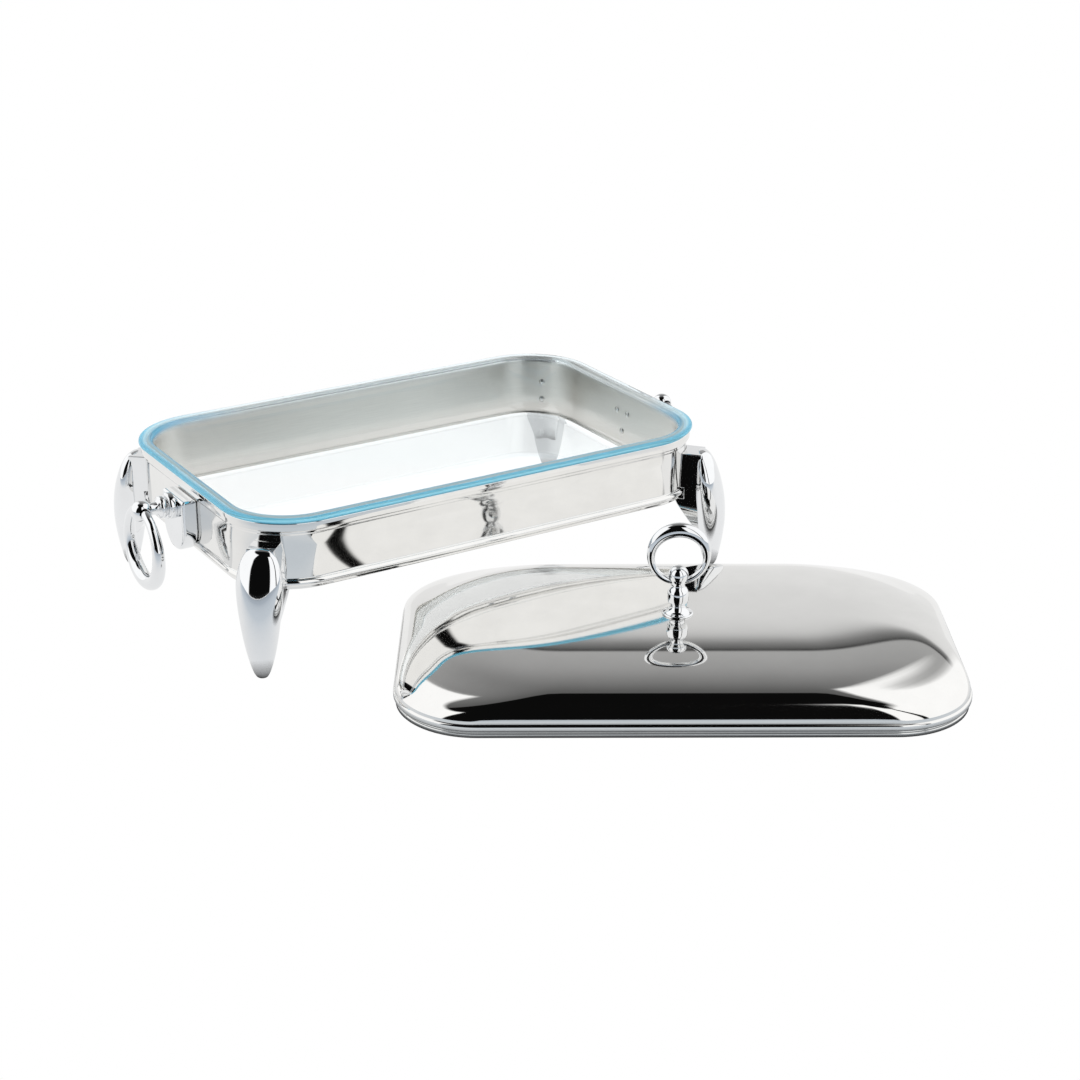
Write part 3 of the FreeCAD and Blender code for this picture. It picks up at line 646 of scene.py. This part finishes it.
def shield_rings():
    """Slices of the bracket's shield, from the wall outwards."""
    outline = [(SHIELD_HALF, SHIELD_TOP), (-SHIELD_HALF, SHIELD_TOP)]
    outline += arc((0, SHIELD_BEND), SHIELD_HALF, 180, 360, 28)
    return [[Vector((WALL_X + out, across, height)) * MM for across, height in outline]
            for out in (0.0, BRACKET_THICK)]


def ball_profile(middle, radius, start, step):
    """Radius and height of a ball on a post, from an angle up to its top."""
    angles = [math.radians(degrees) for degrees in range(start, -1, -step)]
    return [(radius * math.sin(angle), middle + radius * math.cos(angle)) for angle in angles]


def post_profile():
    """Radius and reach of the turned post from the bracket's face to its ball."""
    start = WALL_X + BRACKET_THICK
    profile = [(0.0, start), (9.4, start)]
    profile += [(r, start + x) for r, x in ((10.0, 0.6), (10.0, 3.4), (9.7, 4.4), (8.9, 5.1),
                                            (7.6, 5.4), (6.3, 5.5), (6.0, 5.8), (6.1, 6.1))]
    profile += [(r, start + x) for r, x in ((7.2, 6.4), (8.0, 6.9), (8.4, 7.8), (8.4, 9.6),
                                            (8.0, 10.7), (7.1, 11.4), (5.6, 11.8), (4.7, 12.6),
                                            (4.6, 14.0), (4.6, 16.2))]
    return profile + ball_profile(BALL_X, BALL_RADIUS, 144, 9)


def make_handles(chrome):
    for end, side in (("left", -1), ("right", 1)):
        turn = Matrix.Rotation(0 if side > 0 else math.pi, 4, "Z")
        bracket = bridge(moved(shield_rings(), turn), cap_first=True, cap_last=True)
        piece = add_piece("bracket_" + end, bracket, "frame", "handle_bracket_" + end,
                          slot="chromed_casting", materials=(chrome,))
        soften_edges(piece, SHIELD_EDGE, 4)
        lying = (turn @ Matrix.Translation(Vector((0, 0, BALL_Z)) * MM)
                 @ Matrix.Rotation(math.pi / 2, 4, "Y"))
        rings = moved(turned(in_metres(post_profile())), lying)
        post = add_piece("post_" + end, bridge(rings), "frame", "handle_post_" + end,
                         slot="chromed_casting", materials=(chrome,))
        drill_eye(post, side * BALL_X, BALL_Z, EYE_RADIUS)
        make_ring("ring_" + end, end + "_ring", "handle_ring_" + end, RING_PATH, RING_SIZES,
                  (side * BALL_X, 0, BALL_Z + RING_PLAY - RING_PATH), Matrix(), chrome)


def drill_eye(piece, x, z, radius):
    """Drill a hole along Y through a piece."""
    rings = moved(turned(in_metres([(radius, -DRILL_HALF), (radius, DRILL_HALF)]), 48),
                  Matrix.Translation(Vector((x, 0, z)) * MM)
                  @ Matrix.Rotation(math.pi / 2, 4, "X"))
    tool = bpy.data.objects.new("drill", bridge(rings, cap_first=True, cap_last=True))
    bpy.context.scene.collection.objects.link(tool)
    bore = piece.modifiers.new("eye", "BOOLEAN")
    bore.operation = "DIFFERENCE"
    bore.solver = "EXACT"
    bore.object = tool
    convert(piece)
    smooth_faces(piece.data, 40)
    bpy.data.objects.remove(tool)


# ---------------------------------------------------------------- lid

LID_PLACE = Matrix.Translation((0.0719, -0.2543, 0)) @ Matrix.Rotation(
    math.radians(-31.4), 4, "Z")
# length, width and corner radius of the lid's rim, in metres
LID = (0.404, 0.248, 0.060)
LID_RIM, LID_TOP, LID_SHEET = 10.2, 37.0, 1.0
LID_GRID = {"straight": 22, "bend": 26}
DOME_INSET, DOME_FLAT, DOME_LINES = 1.0, 2.4, 46
DOME_START, DOME_SPAN = 0.001, 0.985
DOME_POWER = 5.3
CORNER_GROWTH, CORNER_LIMIT, CORNER_BLEND, CORNER_LEAST = 3.6, 0.92, 8, 0.5


def dome_outline(share, sheet):
    """One level line of the dome, a share of the half width in from the rim."""
    full = LID[1] / 2 / MM
    inset = (DOME_INSET + (full - DOME_FLAT) * share + sheet) * MM
    # the corners widen as the dome rises, and blend into the most that fits
    tight = CORNER_LIMIT * full * (1 - share)
    loose = LID[2] / MM + CORNER_GROWTH * share * full
    corner = (tight ** -CORNER_BLEND + loose ** -CORNER_BLEND) ** (-1 / CORNER_BLEND) - sheet
    height = LID_RIM + (LID_TOP - LID_RIM) * math.sqrt(1 - (1 - share) ** DOME_POWER) - sheet
    outline = rounded_outline(LID[0] - 2 * inset, LID[1] - 2 * inset,
                              max(corner, CORNER_LEAST) * MM, **LID_GRID)
    return [Vector((x, y, height * MM)) for x, y in outline]


def dome_shares():
    """Shares for the level lines, closest together at the rim where the dome is steep."""
    quarter = math.pi / 2
    shares = [1 - math.cos(quarter * index / DOME_LINES) for index in range(DOME_LINES + 1)]
    return [DOME_START + DOME_SPAN * share for share in shares]


def make_lid(polished):
    """One closed skin: under the dome, round the rolled rim, and over the dome."""
    rim = [(-2.6, 0.0), (-1.9, 0.0), (-1.6, 0.3), (-1.6, 2.7), (-1.8, 3.1), (-2.8, 3.4),
           (-3.0, 3.7), (-2.9, 4.3), (-2.2, 4.75)]
    rim += arc((-1.9, 6.7), 1.9, -75, 0, 7) + arc((-1.9, 8.3), 1.9, 0, 78, 7)
    inner_rim = [(-2.0, LID_RIM - LID_SHEET), (-1.3, 8.6), (-1.1, 7.4), (-1.4, 6.2),
                 (-2.4, 5.8), (-3.9, 5.5), (-4.0, 4.4), (-4.0, 2.6), (-2.9, 2.1), (-2.6, 1.7)]
    shares = dome_shares()
    rings = [dome_outline(share, LID_SHEET) for share in reversed(shares)]
    rings += swept(in_metres(inner_rim + rim), *LID, **LID_GRID)
    rings += [dome_outline(share, 0.0) for share in shares]
    mesh = bridge(moved(rings, LID_PLACE), cap_first=True, cap_last=True)
    add_piece("lid", mesh, "lid", "lid_shell", slot="polished_steel", materials=(polished,))
    smooth_faces(mesh, 60)


# knob: heights of its foot and its ball's middle above the lid, and the ball's radius
KNOB_FOOT, KNOB_LIFT, KNOB_BALL = 7.4, 30.0, 7.2
KNOB_RING_PATH, KNOB_RING_SIZES, KNOB_RING_LIFT = 20.0, (5.3, 3.0, 2.3), 14.7
WASHER_THICK = 1.0


def spin_on_lid(name, profile, node, slot, material, sides=72, closed=False):
    """Add a piece of the lid that is spun about the knob's axis."""
    rings = moved(turned(in_metres(profile), sides), LID_PLACE)
    add_piece(name, bridge(rings, closed=closed), "lid", node, slot=slot,
              materials=(material,))


def make_knob(chrome, satin):
    top = LID_TOP
    foot = [(0.0, top), (10.9, top), (11.3, top + 0.4), (11.2, top + 0.9), (10.2, top + 1.3),
            (8.6, top + 1.9), (7.2, top + 2.9), (6.1, top + 4.2), (5.5, top + 5.6),
            (5.2, top + 7.0), (5.2, top + KNOB_FOOT), (0.0, top + KNOB_FOOT)]
    spin_on_lid("knob_foot", foot, "lid_knob_foot", "chromed_casting", chrome)
    start = top + KNOB_FOOT
    post = [(0.0, start), (4.9, start), (6.0, start + 0.5), (7.0, start + 1.6)]
    post += [(7.6, start + 3.4), (7.7, start + 6.0), (7.6, start + 8.6), (7.1, start + 10.6),
             (6.2, start + 12.2), (5.3, start + 13.1), (4.9, start + 13.9)]
    lift = top + KNOB_LIFT
    post += [(4.7, start + 14.8), (4.8, start + 16.0)] + ball_profile(lift, KNOB_BALL, 132, 12)
    spin_on_lid("knob_post", post, "lid_knob_post", "chromed_casting", chrome)
    quarter = Matrix.Rotation(math.pi / 2, 4, "Z")
    place = LID_PLACE @ Vector((0, 0, (lift + KNOB_RING_LIFT) * MM))
    make_ring("knob_ring", "lid", "lid_knob_ring", KNOB_RING_PATH, KNOB_RING_SIZES,
              place / MM, LID_PLACE.to_3x3().to_4x4() @ quarter, chrome)
    seat = top - LID_SHEET
    under = seat - WASHER_THICK
    washer = [(2.3, under), (6.8, under), (7.0, seat - 0.8), (7.0, seat - 0.2), (6.8, seat),
              (2.3, seat)]
    spin_on_lid("knob_washer", washer, "lid_knob_washer", "plain_steel", satin, closed=True)
    screw = [(0.0, under - 2.4), (2.6, under - 2.3), (3.5, under - 1.8), (4.0, under - 0.9),
             (4.0, under), (2.0, under), (2.0, under + 12.0), (0.0, under + 12.0)]
    spin_on_lid("knob_screw", screw, "lid_knob_screw", "plain_steel", satin, sides=32)


# ---------------------------------------------------------------- rivets

RIVET_HEAD, RIVET_DOME, RIVET_SHANK, RIVET_LONG, RIVET_SEAT = 2.6, 1.3, 1.5, 6.2, 0.1
# places of the rivets in each leg and each end wall: sideways, height
LEG_RIVETS = ((0.0, 75.6), (0.0, 91.0))
HANDLE_RIVETS = ((7.6, 91.9), (-7.6, 91.9), (0.0, 75.5))


def rivet_tree(material):
    """Set a round-headed rivet at every point, its shank along the point's heading."""
    tree = bpy.data.node_groups.new("rivets", "GeometryNodeTree")
    face = tree.interface
    face.new_socket("Geometry", in_out="INPUT", socket_type="NodeSocketGeometry")
    for name in ("Head radius", "Head height", "Shank radius", "Shank length"):
        face.new_socket(name, in_out="INPUT", socket_type="NodeSocketFloat")
    face.new_socket("Geometry", in_out="OUTPUT", socket_type="NodeSocketGeometry")
    nodes = Nodes(tree)
    given = nodes.add("NodeGroupInput").outputs
    ball = nodes.add("GeometryNodeMeshUVSphere", {"Segments": 28, "Rings": 14, "Radius": 1.0})
    size = nodes.add("ShaderNodeCombineXYZ", {
        "X": given["Head radius"], "Y": given["Head radius"], "Z": given["Head height"]})
    head = nodes.add("GeometryNodeTransform", {
        "Geometry": ball.outputs["Mesh"], "Scale": size.outputs[0]})
    rod = nodes.add("GeometryNodeMeshCylinder", {
        "Vertices": 24, "Radius": given["Shank radius"], "Depth": given["Shank length"]})
    lift = nodes.add("ShaderNodeCombineXYZ", {
        "Z": nodes.math("MULTIPLY", given["Shank length"], 0.5)})
    shank = nodes.add("GeometryNodeTransform", {
        "Geometry": rod.outputs["Mesh"], "Translation": lift.outputs[0]})
    rivet = nodes.add("GeometryNodeJoinGeometry")
    tree.links.new(head.outputs[0], rivet.inputs[0])
    tree.links.new(shank.outputs[0], rivet.inputs[0])
    heading = nodes.add("GeometryNodeInputNamedAttribute", {"Name": "heading"},
                        data_type="FLOAT_VECTOR")
    turn = nodes.add("FunctionNodeAlignRotationToVector", {
        "Vector": heading.outputs["Attribute"]}, axis="Z")
    set_in = nodes.add("GeometryNodeInstanceOnPoints", {
        "Points": given["Geometry"], "Instance": rivet.outputs[0],
        "Rotation": turn.outputs[0]})
    real = nodes.add("GeometryNodeRealizeInstances", {"Geometry": set_in.outputs[0]})
    coat = nodes.add("GeometryNodeSetMaterial", {
        "Geometry": real.outputs[0], "Material": material})
    nodes.add("NodeGroupOutput", {"Geometry": coat.outputs[0]})
    return tree


def make_rivets(satin):
    """A point inside the band for each rivet, with the way its shank runs outwards."""
    spots, headings = [], []
    for side_x, side_y in CORNERS.values():
        place = leg_place(side_x, side_y)
        for across, height in LEG_RIVETS:
            start = Vector((LUG_FACE - BAND_SHEET - RIVET_SEAT, across, height)) * MM
            spots.append(place @ start)
            headings.append(place.to_3x3() @ Vector((1, 0, 0)))
    for side in (-1, 1):
        for across, height in HANDLE_RIVETS:
            reach = WALL_X - BAND_SHEET - RIVET_SEAT
            spots.append(Vector((side * reach, across, height)) * MM)
            headings.append(Vector((side, 0, 0)))
    mesh = bpy.data.meshes.new("rivets")
    mesh.from_pydata(spots, [], [])
    heading = mesh.attributes.new("heading", "FLOAT_VECTOR", "POINT")
    for item, way in zip(heading.data, headings):
        item.vector = way
    piece = bpy.data.objects.new("rivets", mesh)
    bpy.context.scene.collection.objects.link(piece)
    modifier = piece.modifiers.new("rivets", "NODES")
    modifier.node_group = rivet_tree(satin)
    sizes = {"Head radius": RIVET_HEAD, "Head height": RIVET_DOME,
             "Shank radius": RIVET_SHANK, "Shank length": RIVET_LONG}
    for item in modifier.node_group.interface.items_tree:
        if item.in_out == "INPUT" and item.name in sizes:
            modifier[item.identifier] = sizes[item.name] * MM
    convert(piece)
    smooth_faces(piece.data, 60)
    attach(piece, "frame")
    nodes = ["leg_rivets_" + corner for corner in CORNERS]
    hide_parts(*nodes, "handle_rivets_left", "handle_rivets_right")


# ---------------------------------------------------------------- the scene

make_camera()
make_world()
make_floor()
bpy.context.scene.view_settings.view_transform = "Standard"
polished = finish_metal("polished_steel", (0.84, 0.835, 0.82), 0.035, 0.02)
chrome = finish_metal("chromed_casting", (0.84, 0.85, 0.86), 0.03, 0.02)
brushed = finish_metal("brushed_steel", (0.93, 0.90, 0.85), 0.30, 0.14, grain=(30, 2600, 1))
satin = finish_metal("satin_steel", (0.70, 0.69, 0.67), 0.22, 0.10)
glass = finish_glass("clear_glass")
make_band(polished, brushed)
make_dish(glass)
make_legs(chrome)
make_handles(chrome)
make_lid(polished)
make_knob(chrome, satin)
make_rivets(satin)
